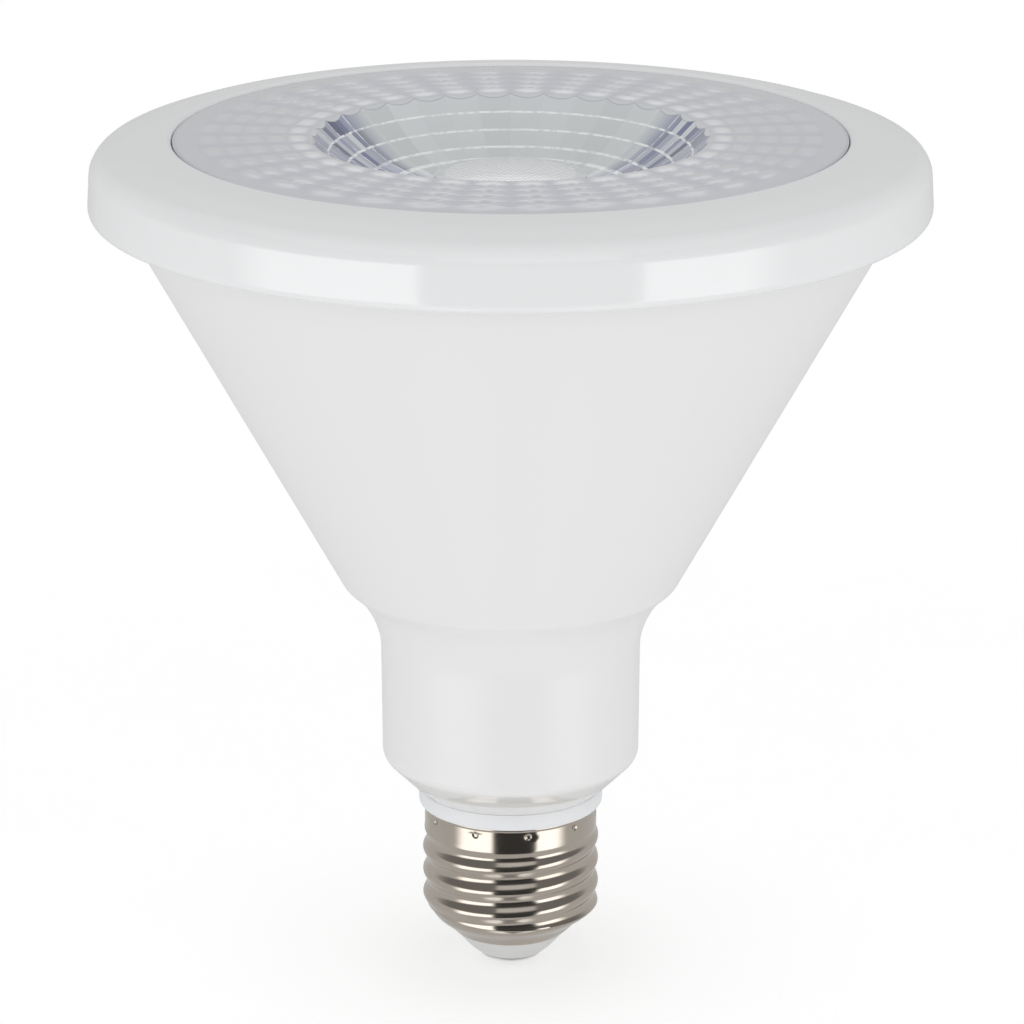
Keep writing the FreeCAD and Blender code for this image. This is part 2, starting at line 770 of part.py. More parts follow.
nodes = [
    "housing", "front_ring", "lens", "lens_seal", "led_tray", "heat_liner", "thermal_pad", "led_board",
    "led_packages", "board_screws", "cap_base", "cap_shell", "cap_insulator", "centre_contact",
    "driver_board", "input_capacitor", "output_capacitor", "film_capacitor", "bridge_rectifier",
    "driver_chip", "output_diode", "chip_resistors", "transformer_core", "transformer_winding",
    "fuse_resistor", "neutral_lead", "led_lead_plus", "led_lead_minus",
]

for item in doc.Objects:
    if "Invalid" in item.State or "Error" in item.State:
        raise RuntimeError("object failed: " + item.Label)

os.makedirs("parts", exist_ok=True)
for node in nodes:
    shape = doc.getObjectsByLabel(node)[0].Shape
    if shape.isNull() or not shape.isValid():
        raise RuntimeError("bad shape: " + node)
    box = shape.BoundBox
    print("%-20s solids %2d volume %10.1f  z %7.2f to %7.2f" % (
        node, len(shape.Solids), shape.Volume, box.ZMin, box.ZMax))
for node in nodes:
    doc.getObjectsByLabel(node)[0].Shape.exportStep("parts/" + node + ".step")
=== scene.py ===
import bpy
import math
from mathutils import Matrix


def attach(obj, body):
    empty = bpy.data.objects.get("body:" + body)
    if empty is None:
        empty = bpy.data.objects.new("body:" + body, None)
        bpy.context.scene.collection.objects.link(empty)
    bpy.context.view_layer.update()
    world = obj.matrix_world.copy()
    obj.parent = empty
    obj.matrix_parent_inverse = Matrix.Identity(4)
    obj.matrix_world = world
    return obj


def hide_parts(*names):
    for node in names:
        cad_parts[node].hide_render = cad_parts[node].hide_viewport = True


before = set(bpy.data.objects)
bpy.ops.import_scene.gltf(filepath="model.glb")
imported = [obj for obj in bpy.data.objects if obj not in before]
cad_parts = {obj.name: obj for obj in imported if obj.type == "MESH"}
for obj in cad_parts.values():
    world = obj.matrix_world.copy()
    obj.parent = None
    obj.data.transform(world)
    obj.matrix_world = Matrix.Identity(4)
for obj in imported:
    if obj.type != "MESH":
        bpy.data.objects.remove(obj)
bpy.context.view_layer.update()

mm = 0.001  # pieces are written in millimetres and made in metres
near = 0.02 * mm
around = 144  # faces round a turned piece: four for each of the lens's 36 columns


def deselectAll():
    if bpy.context.mode != "OBJECT":
        bpy.ops.object.mode_set(mode="OBJECT")
    bpy.ops.object.select_all(action="DESELECT")


def startRing(name, radius, height, segments=around):
    # a bare circle at its size and place, left open in edit mode
    deselectAll()
    bpy.ops.mesh.primitive_circle_add(vertices=segments, radius=radius * mm, fill_type="NOTHING",
                                      location=(0, 0, height * mm))
    piece = bpy.context.object
    piece.name = name
    piece.data.name = name
    bpy.ops.object.transform_apply(location=True, rotation=True, scale=True)
    bpy.ops.object.mode_set(mode="EDIT")
    bpy.ops.mesh.select_mode(type="EDGE")
    bpy.ops.mesh.select_all(action="SELECT")
    return piece


def nextRing(last, new, lastShift=(0, 0), newShift=(0, 0)):
    # pull the selected ring to its next radius and height
    move = [(newShift[0] - lastShift[0]) * mm, (newShift[1] - lastShift[1]) * mm, (new[1] - last[1]) * mm]
    bpy.ops.mesh.extrude_region_move(TRANSFORM_OT_translate={"value": move})
    if new[0] == 0:
        bpy.ops.mesh.merge(type="CENTER")
        return
    scale = new[0] / last[0]
    bpy.ops.transform.resize(value=(scale, scale, 1),
                             center_override=(newShift[0] * mm, newShift[1] * mm, new[1] * mm))


def selectRing(piece, radius, height):
    # edges that lie on one circle about the axis
    bpy.ops.mesh.select_all(action="DESELECT")
    bpy.ops.object.mode_set(mode="OBJECT")
    points = piece.data.vertices

    def onCircle(index):
        spot = points[index].co
        return abs(math.hypot(spot.x, spot.y) - radius * mm) < near and abs(spot.z - height * mm) < near

    for edge in piece.data.edges:
        edge.select = onCircle(edge.vertices[0]) and onCircle(edge.vertices[1])
    bpy.ops.object.mode_set(mode="EDIT")


def selectPoints(piece, wanted):
    bpy.ops.mesh.select_all(action="DESELECT")
    bpy.ops.object.mode_set(mode="OBJECT")
    for point in piece.data.vertices:
        point.select = wanted(point.co)
    bpy.ops.object.mode_set(mode="EDIT")


def closeShell():
    bpy.ops.mesh.select_all(action="SELECT")
    bpy.ops.mesh.remove_doubles(threshold=0.001 * mm)
    bpy.ops.mesh.normals_make_consistent(inside=False)


def finishPiece(piece, material, smoothAngle, nodeName):
    if bpy.context.mode != "OBJECT":
        bpy.ops.object.mode_set(mode="OBJECT")
    bpy.ops.object.shade_smooth_by_angle(angle=math.radians(smoothAngle))
    piece.data.materials.clear()
    piece.data.materials.append(material)
    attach(piece, "root")
    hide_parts(nodeName)
    print("piece", piece.name, len(piece.data.polygons), "faces")


def turnPiece(name, corners, closed=True):
    # a corner is radius, height and, where it is rounded, how far the round reaches and its faces
    piece = startRing(name, *corners[0][:2])
    for last, new in zip(corners, corners[1:]):
        nextRing(last, new)
    if closed:
        nextRing(corners[-1], corners[0])
    closeShell()
    for corner in corners:
        if len(corner) > 2:
            selectRing(piece, corner[0], corner[1])
            bpy.ops.mesh.bevel(offset=corner[2] * mm, segments=corner[3], profile=0.5, affect="EDGES")
    return piece


class Signal:  # a node's output that can be added, multiplied and compared like a number
    def __init__(self, finish, socket):
        self.finish = finish
        self.socket = socket

    def maths(self, operation, *values):
        return self.finish.node("ShaderNodeMath", {"operation": operation}, dict(enumerate(values)))

    def __add__(self, other):
        return self.maths("ADD", self, other)

    def __radd__(self, other):
        return self.maths("ADD", other, self)

    def __sub__(self, other):
        return self.maths("SUBTRACT", self, other)

    def __rsub__(self, other):
        return self.maths("SUBTRACT", other, self)

    def __mul__(self, other):
        return self.maths("MULTIPLY", self, other)

    def __rmul__(self, other):
        return self.maths("MULTIPLY", other, self)

    def __truediv__(self, other):
        return self.maths("DIVIDE", self, other)

    def __pow__(self, other):
        return self.maths("POWER", self, other)

    def __gt__(self, other):
        return self.maths("GREATER_THAN", self, other)

    def __lt__(self, other):
        return self.maths("LESS_THAN", self, other)

    def __abs__(self):
        return self.maths("ABSOLUTE", self)

    def fraction(self):
        return self.maths("FRACT", self)

    def whole(self):
        return self.maths("FLOOR", self)

    def smallest(self, other):
        return self.maths("MINIMUM", self, other)

    def largest(self, other):
        return self.maths("MAXIMUM", self, other)


class Finish:  # the nodes of one material, or of the world
    def __init__(self, owner, coordinates="Object"):
        self.owner = owner
        owner.use_nodes = True
        self.tree = owner.node_tree
        self.tree.nodes.clear()
        self.place = self.node("ShaderNodeTexCoord", {}, {}, coordinates)

    def node(self, kind, settings, sockets, output=0):
        made = self.tree.nodes.new(kind)
        for field, value in settings.items():
            if field == "stops":
                ramp = made.color_ramp
                while len(ramp.elements) < len(value):
                    ramp.elements.new(0.5)
                for stop, (spot, colour) in zip(ramp.elements, value):
                    stop.position = spot
                    stop.color = colour
            else:
                setattr(made, field, value)
        for key, value in sockets.items():
            if isinstance(value, Signal):
                self.tree.links.new(value.socket, made.inputs[key])
            else:
                made.inputs[key].default_value = value
        return None if output is None else Signal(self, made.outputs[output])

    def noise(self, scale, detail=3.0, stretch=(1, 1, 1)):
        place = self.place
        if stretch != (1, 1, 1):
            place = self.node("ShaderNodeMapping", {}, {"Vector": place, "Scale": stretch})
        return self.node("ShaderNodeTexNoise", {}, {"Vector": place, "Scale": scale, "Detail": detail})

    def between(self, mask, first, second):
        return self.node("ShaderNodeMix", {"data_type": "RGBA"}, {0: mask, 6: first, 7: second}, 2)

    def fade(self, value, low, high, toLow=0.0, toHigh=1.0):
        return self.node("ShaderNodeMapRange", {"interpolation_type": "SMOOTHSTEP"}, {
            "Value": value, "From Min": low, "From Max": high, "To Min": toLow, "To Max": toHigh})

    def bump(self, height, strength, distance):
        return self.node("ShaderNodeBump", {}, {"Height": height, "Strength": strength, "Distance": distance})

    def splitPlace(self):
        return [self.node("ShaderNodeSeparateXYZ", {}, {0: self.place}, axis) for axis in range(3)]

    def surface(self, **values):
        sockets = {name.replace("_", " "): value for name, value in values.items()}
        shader = self.node("ShaderNodeBsdfPrincipled", {}, sockets)
        self.node("ShaderNodeOutputMaterial", {}, {"Surface": shader}, None)
        return self.owner


def newFinish(name):
    return Finish(bpy.data.materials.new(name))


def colour(red, green, blue):
    return (red, green, blue, 1.0)


whiteLook = {
    "cone": (0.79, 0.79, 0.787), "coneShade": (0.77, 0.772, 0.77), "coneRough": 0.36, "coneCoat": 0.1,
    "ring": (0.80, 0.815, 0.82), "ringShade": (0.785, 0.80, 0.805), "ringRough": 0.09, "ringCoat": 0.03,
    "collar": (0.78, 0.79, 0.80), "collarShade": (0.76, 0.77, 0.785), "collarRough": 0.5, "collarCoat": 0.03,
    # foot: a darker grey for the cone's downward-facing chamfer, painted shade
    "polish": 0.22, "foot": (0.70, 0.70, 0.69), "footHigh": 33.0,
}


def mouldedWhite(name, key, scale, relief, coat=0.0, polishedAndShadedBelow=0.0):
    # a moulding's slow drift in tone, and a fine grain that breaks its gloss; below a given height its foot
    # is polished and coated, and painted a darker grey as painted shade
    finish = newFinish(name)
    height = finish.splitPlace()[2] / mm
    drift = finish.noise(scale, 2.0)
    grain = finish.noise(scale * 60, 4.0)
    polish = finish.fade(height, polishedAndShadedBelow - 0.6, polishedAndShadedBelow + 0.6, whiteLook["polish"], 1.0)
    rough = polish * whiteLook[key + "Rough"]
    white = finish.between(drift, colour(*whiteLook[key]), colour(*whiteLook[key + "Shade"]))
    # painted shade: below the given height the foot is painted a darker grey; the same mask also gives it a
    # clear coat
    if polishedAndShadedBelow:
        low = finish.fade(height, polishedAndShadedBelow - 1.5, polishedAndShadedBelow + 0.5, 1.0, 0.0)
        white = finish.between(low, white, colour(*whiteLook["foot"]))
        coat = low
    return finish.surface(
        Base_Color=white,
        Roughness=rough * (0.85 + drift * 0.3),
        Normal=finish.bump(grain * polish, relief, 0.02 * mm),
        IOR=1.5, Coat_Weight=coat, Coat_Roughness=whiteLook[key + "Coat"])


coneMaterial = mouldedWhite("satinWhiteMoulding", "cone", scale=14, relief=0.12,
                            polishedAndShadedBelow=whiteLook["footHigh"])
ringMaterial = mouldedWhite("glossWhiteMoulding", "ring", scale=12, relief=0.02, coat=0.4)
collarMaterial = mouldedWhite("bluishWhiteMoulding", "collar", scale=30, relief=0.2)
print("white materials made")


housing = {
    "opening": 12.2, "bottom": 27.8, "foot": 13.75,
    "neck": 19.03, "neckLow": 33.08, "neckTop": 19.2, "neckHigh": 55.35,
    "shoulder": 24.75, "shoulderHigh": 60.2, "cone": 56.6, "coneHigh": 117.9,
    "rim": 58.1, "rimHigh": 121.6, "wall": 1.6, "slant": 1.83,
}
h = housing
coneHousing = turnPiece("coneHousing", [
    (h["opening"], h["bottom"]),
    (h["foot"], h["bottom"], 0.15, 2),
    (h["neck"], h["neckLow"], 0.83, 6),
    (h["neckTop"], h["neckHigh"], 5.4, 16),
    (h["shoulder"], h["shoulderHigh"], 0.45, 4),
    (h["cone"], h["coneHigh"]),
    (h["rim"], h["coneHigh"]),
    (h["rim"], h["rimHigh"]),
    (h["cone"] - h["slant"], h["rimHigh"]),
    (h["cone"] - h["slant"], h["coneHigh"]),
    (h["shoulder"] - h["slant"], h["shoulderHigh"]),
    (h["neckTop"] - h["wall"], h["neckHigh"]),
    (h["neck"] - h["wall"], h["neckLow"]),
    (h["opening"], h["bottom"] + h["wall"]),
])
finishPiece(coneHousing, coneMaterial, 35, "housing")


ring = {
    "bottom": 116.1, "band": 60.67, "bandTop": 60.17, "shoulderHigh": 124.55,
    "break": 54.4, "breakHigh": 126.45, "inner": 48.4, "top": 127.15,
    "seat": 125.3, "seatRadius": 50.85, "inside": 58.37, "insideHigh": 122.75,
    "lip": 55.85, "lipTop": 117.8, "lipWall": 0.95,
}
r = ring
frontRing = turnPiece("frontRing", [
    (r["lip"], r["bottom"]),
    (r["band"], r["bottom"], 1.45, 8),
    (r["bandTop"], r["shoulderHigh"], 2.45, 12),
    (r["break"], r["breakHigh"], 1.3, 5),
    (r["inner"], r["top"], 1.1, 8),
    (r["inner"], r["seat"]),
    (r["seatRadius"], r["seat"]),
    (r["inside"], r["insideHigh"]),
    (r["inside"], r["lipTop"]),
    (r["lip"] + r["lipWall"], r["lipTop"]),
])
finishPiece(frontRing, ringMaterial, 35, "front_ring")


collar = {
    "sleeve": 12.1, "bore": 10.3, "bottom": 10.5, "foot": 25.2,
    "edge": 13.65, "topEdge": 13.75, "top": 27.8, "end": 40.3,
}
c = collar
capCollar = turnPiece("capCollar", [
    (c["bore"], c["bottom"]),
    (c["sleeve"], c["bottom"]),
    (c["sleeve"], c["foot"]),
    (c["edge"], c["foot"], 0.5, 5),
    (c["topEdge"], c["top"], 0.12, 2),
    (c["sleeve"], c["top"]),
    (c["sleeve"], c["end"]),
    (c["bore"], c["end"]),
])
finishPiece(capCollar, collarMaterial, 35, "cap_base")


shell = {
    "edge": 8.65, "bottom": 5.1, "taper": 4.0, "body": 12.83, "top": 25.2,
    "pitch": 3.629, "depth": 0.65, "crest": 17.9, "fadeFrom": 19.9, "fadeTo": 21.9,
    "wall": 0.3, "segments": 120, "rings": 110,
    "marks": 10, "firstMark": 30, "markHigh": 23.9, "markDeep": 0.16, "markRadius": 0.8,
    "nickel": (0.62, 0.565, 0.50), "stain": (0.52, 0.465, 0.40), "rough": 0.11, "roughStain": 0.08,
    "linesDeep": 0.06, "lipDeep": 1.5, "markCore": 2.5,
}


def nickelFinish():
    # bright nickel: drawing lines round it, faint stains, a lip at its top and the sharp core of each mark
    finish = newFinish("nickelPlate")
    x, y, z = finish.splitPlace()
    spacing = 360 / shell["marks"]
    turned = y.maths("ARCTAN2", y, x) * (180 / math.pi) - shell["firstMark"] + spacing / 2
    share = (turned / spacing + shell["marks"]).fraction()
    along = (share - 0.5) * (2 * math.pi * shell["body"] / shell["marks"])
    up = z / mm - shell["markHigh"]
    mark = finish.fade((along * along + up * up) ** 0.5, 0.2, 0.6, 1.0, 0.0)
    lip = finish.fade(z, (shell["top"] - 0.55) * mm, (shell["top"] - 0.25) * mm)
    lines = finish.noise(90, 4.0, stretch=(1, 1, 26))
    stain = finish.noise(220, 3.0)
    relief = lines * shell["linesDeep"] + lip * shell["lipDeep"] - mark * shell["markCore"]
    return finish.surface(
        Base_Color=finish.between(stain, colour(*shell["nickel"]), colour(*shell["stain"])),
        Metallic=1.0,
        Roughness=shell["rough"] + stain * shell["roughStain"],
        Normal=finish.bump(relief, 0.6, 0.1 * mm))


def helixShift(height):
    s = shell
    grown = min(1.0, max(0.0, (height - s["bottom"]) / s["taper"]))
    fade = min(1.0, max(0.0, (s["fadeTo"] - height) / (s["fadeTo"] - s["fadeFrom"])))
    offset = s["depth"] / 2 * grown * fade * fade * (3 - 2 * fade)
    turn = math.pi + 2 * math.pi * (height - s["crest"]) / s["pitch"]
    return offset * math.cos(turn), offset * math.sin(turn)


s = shell
heights = [s["bottom"] + (s["top"] - s["bottom"]) * i / s["rings"] for i in range(s["rings"] + 1)]
shellRings = [(min(s["body"], s["edge"] + (s["body"] - s["edge"]) * (z - s["bottom"]) / s["taper"]), z)
              for z in heights]
screwShell = startRing("screwShell", *shellRings[0], segments=s["segments"])
for last, new in zip(shellRings, shellRings[1:]):
    nextRing(last, new, helixShift(last[1]), helixShift(new[1]))
closeShell()


def markDistance(spot):  # millimetres to the nearest punch mark of the crimp
    spacing = 360 / s["marks"]
    turned = (math.degrees(math.atan2(spot.y, spot.x)) - s["firstMark"] + spacing / 2) % spacing - spacing / 2
    return math.hypot(math.radians(turned) * s["body"], spot.z / mm - s["markHigh"])


bpy.ops.mesh.select_mode(type="VERT")
for share, reach in ((0.4, 0.95), (0.35, 0.7), (0.25, 0.35)):  # share of the depth, and how far out it goes
    selectPoints(screwShell, lambda spot: markDistance(spot) < reach * s["markRadius"])
    squeeze = 1 - s["markDeep"] * share / s["body"]
    bpy.ops.transform.resize(value=(squeeze, squeeze, 1), center_override=(0, 0, s["markHigh"] * mm))
bpy.ops.mesh.select_mode(type="EDGE")
bpy.ops.object.mode_set(mode="OBJECT")
solid = screwShell.modifiers.new("wall", "SOLIDIFY")
solid.thickness = s["wall"] * mm
solid.offset = -1
bpy.ops.object.modifier_apply(modifier=solid.name)
finishPiece(screwShell, nickelFinish(), 50, "cap_shell")


insulator = {
    "bore": 1.0, "bottom": 1.15, "foot": 4.7, "belly": 6.95, "bellyHigh": 3.05,
    "edge": 8.4, "top": 5.1, "inside": 7.3,
    "glaze": (0.645, 0.645, 0.635), "glazeShade": (0.61, 0.61, 0.60), "rough": 0.24, "coat": 0.3,
}


def glazedFinish():
    finish = newFinish("glazedInsulator")
    cloud = finish.noise(70, 2.0)
    return finish.surface(
        Base_Color=finish.between(cloud, colour(*insulator["glaze"]), colour(*insulator["glazeShade"])),
        Roughness=insulator["rough"] + cloud * 0.08,
        Normal=finish.bump(cloud, 0.05, 0.05 * mm),
        Coat_Weight=insulator["coat"], Coat_Roughness=0.08)


i = insulator
capInsulator = turnPiece("capInsulator", [
    (i["bore"], i["bottom"]),
    (i["foot"], i["bottom"], 0.6, 5),
    (i["belly"], i["bellyHigh"], 1.6, 8),
    (i["edge"], i["top"]),
    (i["edge"], i["inside"]),
    (i["bore"], i["inside"]),
])
finishPiece(capInsulator, glazedFinish(), 35, "cap_insulator")


contact = {
    "flat": 1.6, "radius": 4.6, "slopeHigh": 0.9, "top": 1.15, "rivet": 0.9, "rivetTop": 8.15,
    "solder": (0.80, 0.79, 0.77), "solderShade": (0.68, 0.67, 0.65), "rough": 0.4,
}


def solderFinish():
    finish = newFinish("solderedContact")
    cloud = finish.noise(300, 3.0)
    return finish.surface(
        Base_Color=finish.between(cloud, colour(*contact["solder"]), colour(*contact["solderShade"])),
        Metallic=0.5,
        Roughness=contact["rough"] + cloud * 0.15,
        Normal=finish.bump(cloud, 0.15, 0.05 * mm))


t = contact
centreContact = turnPiece("centreContact", [
    (t["flat"], 0.0),
    (t["radius"], t["slopeHigh"], 0.15, 3),
    (t["radius"], t["top"]),
    (t["rivet"], t["top"]),
    (t["rivet"], t["rivetTop"]),
    (0, t["rivetTop"]),
], closed=False)
selectRing(centreContact, t["flat"], 0.0)
bpy.ops.mesh.extrude_region_move(TRANSFORM_OT_translate={"value": (0, 0, 0)})
bpy.ops.mesh.merge(type="CENTER")
closeShell()
finishPiece(centreContact, solderFinish(), 35, "centre_contact")
print("cap made")


lens = {
    "top": 126.7, "edge": 48.385, "edgeRound": 0.25, "flangeTop": 125.2, "flange": 50.6, "seat": 123.8,
    "plate": 2.5,  # its thickness
    "columns": 36, "rows": 5, "rowStart": 28.9, "rowWidth": 3.2, "padHigh": 0.26, "margin": 47.6,
    "bowl": [(28.7, 0.0), (26.2, 2.3), (23.5, 4.4), (20.5, 6.3), (17.5, 7.4), (14.3, 8.2)],
    "underside": [(27.8, 2.5), (23.5, 6.3), (20.5, 8.2), (17.5, 9.3), (14.3, 10.1), (0, 10.1)],
    "button": 10.9, "buttonDepth": 5.7, "crown": 1.0, "cellPitch": 0.85, "cellsTo": 9.7, "cellDeep": 0.12,
    # looks of the face and its pads: painted highlights on the pads, painted shade in the seams between them
    # and a painted shade line at the rim
    "body": (0.53, 0.545, 0.58), "bodyShade": (0.49, 0.50, 0.54),
    "paintedSeamShade": (0.36, 0.40, 0.55), "seamShadeShare": 0.28,
    "paintedPadHighlight": (0.83, 0.83, 0.87), "firstRowHighlight": 0.7, "otherRowHighlight": 0.16, "pillow": 2.2,
    "paintedRimShade": (0.42, 0.44, 0.49), "darkFrom": 47.75, "darkTo": 48.0, "rough": 0.32, "coatRough": 0.12,
    # looks of the bowl and the button: painted reflections as dark streaks at the bowl's sides, and painted
    # highlights as bright lines on its edges
    "wall": (0.68, 0.71, 0.72), "wallShade": (0.59, 0.62, 0.63), "reflectionsFrom": 0.76, "reflectionsTo": 0.92,
    "paintedReflections": [(0.0, (0.05, 0.06, 0.13)), (0.35, (0.12, 0.14, 0.27)), (0.65, (0.22, 0.24, 0.39)),
                (0.88, (0.34, 0.36, 0.46)), (1.0, (0.66, 0.69, 0.72))],
    "paintedGlint": (0.93, 0.95, 0.95), "padEnd": (0.64, 0.65, 0.68), "padEndLine": (0.30, 0.32, 0.35),
    "padEndDeep": 0.5, "bowlSmoother": 0.16, "cell": (0.94, 0.94, 0.97), "cellGap": (0.70, 0.70, 0.74),
}


def lensFinish():
    # the pads' relief is in the mesh; here are their colours with painted highlights and painted shade, the
    # painted bowl with painted reflections and painted highlights, and the button's small lenses
    finish = newFinish("lavenderLens")
    x, y, z = finish.splitPlace()
    radius = (x * x + y * y) ** 0.5 / mm
    angle = y.maths("ARCTAN2", y, x)
    column = angle / (2 * math.pi) * lens["columns"] + lens["columns"]
    row = (radius - lens["rowStart"]) / lens["rowWidth"]
    across = abs(column.fraction() - 0.5) * 2
    along = abs(row.fraction() - 0.5) * 2
    onFace = z > (lens["top"] - 0.2) * mm
    padArea = (row > 0.0) * (row < float(lens["rows"])) * onFace
    pillow = (1 - across ** lens["pillow"]) * (1 - along ** lens["pillow"]) * padArea
    # painted highlight: a soft light patch on each pad, strongest in the first row
    firstRow = finish.fade(row, 0.8, 1.4, lens["firstRowHighlight"], lens["otherRowHighlight"])
    paintedPadHighlight = finish.fade(pillow, 0.05, 1.0) * firstRow
    # painted shade: a darker lavender along the seams between the pad columns
    paintedSeamShade = finish.fade(across, 0.25, 1.0) * padArea * lens["seamShadeShare"]
    cloud = finish.noise(60, 3.0)
    body = finish.between(cloud, colour(*lens["body"]), colour(*lens["bodyShade"]))
    seamShaded = finish.between(paintedSeamShade, body, colour(*lens["paintedSeamShade"]))
    padded = finish.between(paintedPadHighlight, seamShaded, colour(*lens["paintedPadHighlight"]))
    # painted shade: a dark line round the lens's edge, where it meets the ring
    atEdge = finish.fade(radius, lens["darkFrom"], lens["darkTo"])
    face = finish.between(atEdge, padded, colour(*lens["paintedRimShade"]))

    # bowl: each facet has its own random tint, and towards the two sides along x dark streaks are painted
    # over it as painted reflections
    level = 0
    for stepRadius, deep in lens["bowl"][1:4]:
        level = level + (z < (lens["top"] - deep) * mm)
    facet = finish.node("ShaderNodeCombineXYZ", {}, {0: column.whole(), 1: 3.7, 2: 0.5})
    tint = finish.node("ShaderNodeTexWhiteNoise", {"noise_dimensions": "3D"}, {"Vector": facet}, "Value")
    stripe = finish.node("ShaderNodeCombineXYZ", {}, {0: (column * 3).whole(), 1: 0.5, 2: level * 3.1})
    streak = finish.node("ShaderNodeTexWhiteNoise", {"noise_dimensions": "3D"}, {"Vector": stripe}, "Value")
    stops = [(spot, colour(*shade)) for spot, shade in lens["paintedReflections"]]
    paintedReflectionColour = finish.node("ShaderNodeValToRGB", {"stops": stops}, {"Fac": streak})
    # painted reflection: the streaks are painted on the facets towards the sides along x
    side = abs(x) / (radius * mm) * (radius > lens["button"] + 0.5)
    wall = finish.between(tint, colour(*lens["wall"]), colour(*lens["wallShade"]))
    wallWithReflections = finish.between(finish.fade(side, lens["reflectionsFrom"], lens["reflectionsTo"]), wall, paintedReflectionColour)
    sparkle = finish.noise(900, 2.0)
    # painted highlights: bright glint lines along the step edges, and at the sides along x along the column
    # edges, broken by noise
    lines = 0
    for stepRadius, deep in lens["bowl"][1:-1]:
        lines = lines + finish.fade(abs(z / mm - (lens["top"] - deep)), 0.07, 0.16, 1.0, 0.0)
    ribs = finish.fade(across, 0.93, 0.98) * finish.fade(side, 0.72, 0.85)
    bright = lines.largest(ribs) * finish.fade(sparkle, 0.35, 0.6, 0.25, 0.95)
    lit = finish.between(bright, wallWithReflections, colour(*lens["paintedGlint"]))

    # the arched ends of the first pads, seen through the top of the wall
    arc = z / mm - lens["top"] + lens["padEndDeep"] * (1.1 - across * across)
    ended = finish.between(finish.fade(arc, -0.04, 0.04), lit, colour(*lens["padEnd"]))
    onArc = finish.fade(abs(arc), 0.03, 0.1, 0.45, 0.0)
    rimmed = finish.between(onArc, ended, colour(*lens["padEndLine"]))
    inBowl = (radius < lens["bowl"][0][0] + 0.05) * (z < (lens["top"] - 0.02) * mm)
    bowlAndFace = finish.between(inBowl, face, rimmed)

    # button: a honeycomb of small lenses
    pitch = lens["cellPitch"]

    def cell(shiftX, shiftY):
        u = (x / (pitch * mm) + 40 + shiftX).fraction() - 0.5
        v = ((y / (pitch * math.sqrt(3) * mm) + 40 + shiftY).fraction() - 0.5) * math.sqrt(3)
        return u * u + v * v

    cellDome = 1 - cell(0, 0).smallest(cell(0.5, 0.5)) * 3
    upperSide = z > (lens["top"] - lens["buttonDepth"] - 1.0) * mm
    onButton = finish.fade(radius, lens["cellsTo"] - 0.4, lens["cellsTo"], 1.0, 0.0) * upperSide
    buttonColour = finish.between(cellDome, colour(*lens["cellGap"]), colour(*lens["cell"]))
    whole = finish.between(onButton, bowlAndFace, buttonColour)
    relief = cellDome * onButton * lens["cellDeep"]
    return finish.surface(
        Base_Color=whole,
        Roughness=lens["rough"] - inBowl * lens["bowlSmoother"],
        Normal=finish.bump(relief, 0.8, 1.0 * mm),
        IOR=1.49, Coat_Weight=1.0, Coat_Roughness=lens["coatRough"], Coat_IOR=1.49)


def pullThrough(rings):  # the selected ring goes through a row of radii and heights
    for last, new in zip(rings, rings[1:]):
        nextRing(last, new)


# face, bowl and button, from the edge to the middle
lensTop = lens["top"]
lensPlate = startRing("lensPlate", lens["edge"], lensTop)
innerRim = lens["bowl"][0][0]
padRadii = [lens["rowStart"] + lens["rowWidth"] * step / 4 for step in range(lens["rows"] * 4, -1, -1)]
pullThrough([(radius, lensTop) for radius in [lens["edge"], lens["margin"]] + padRadii + [innerRim]])
bowlRings = [(radius, lensTop - deep) for radius, deep in lens["bowl"]]
bowlFloor = bowlRings[-1][1]
buttonFoot = lensTop - lens["buttonDepth"]
pullThrough(bowlRings + [(lens["button"], bowlFloor), (lens["button"], buttonFoot)])
dome = [(lens["button"] * k, buttonFoot + lens["crown"] * (1 - k * k)) for k in (1, 0.8, 0.6, 0.4, 0.2, 0)]
pullThrough(dome)

# the outside: step, flange and plain underside
selectRing(lensPlate, lens["edge"], lensTop)
pullThrough([
    (lens["edge"], lensTop), (lens["edge"], lens["flangeTop"]), (lens["flange"], lens["flangeTop"]),
    (lens["flange"], lens["seat"]), (lens["edge"], lens["seat"]), (lens["edge"], lensTop - lens["plate"]),
] + [(radius, lensTop - deep) for radius, deep in lens["underside"]])
closeShell()


def columnPlace(spot):  # quarters of a column, 0 on the line between two columns
    return round(math.degrees(math.atan2(spot.y, spot.x)) % 360 * around / 360) % 4


# facets: the points between a column's two corners move in to the straight line between them
flat = math.cos(math.pi / lens["columns"])
bpy.ops.mesh.select_mode(type="VERT")
for squeeze, places in ((flat, (2,)), (flat / math.cos(math.pi / around), (1, 3))):
    for radius, height in bowlRings:
        selectPoints(lensPlate, lambda spot: abs(math.hypot(spot.x, spot.y) - radius * mm) < near
                     and abs(spot.z - height * mm) < near and columnPlace(spot) in places)
        bpy.ops.transform.resize(value=(squeeze, squeeze, 1), center_override=(0, 0, height * mm))


def padPlace(spot):  # quarters of a row, 0 on the line between two rows and off the pads
    steps = (math.hypot(spot.x, spot.y) / mm - lens["rowStart"]) / lens["rowWidth"] * 4
    onPads = 0 < steps < lens["rows"] * 4 and abs(spot.z - lens["top"] * mm) < near
    return round(steps) % 4 if onPads else 0


# pads: each one swells up between its borders, most where it is in the middle both ways
for swell, middles in ((1.0, 2), (0.75, 1), (0.5625, 0)):
    selectPoints(lensPlate, lambda spot: columnPlace(spot) and padPlace(spot)
                 and (columnPlace(spot) == 2) + (padPlace(spot) == 2) == middles)
    bpy.ops.transform.translate(value=(0, 0, lens["padHigh"] * swell * mm))
bpy.ops.mesh.select_mode(type="EDGE")

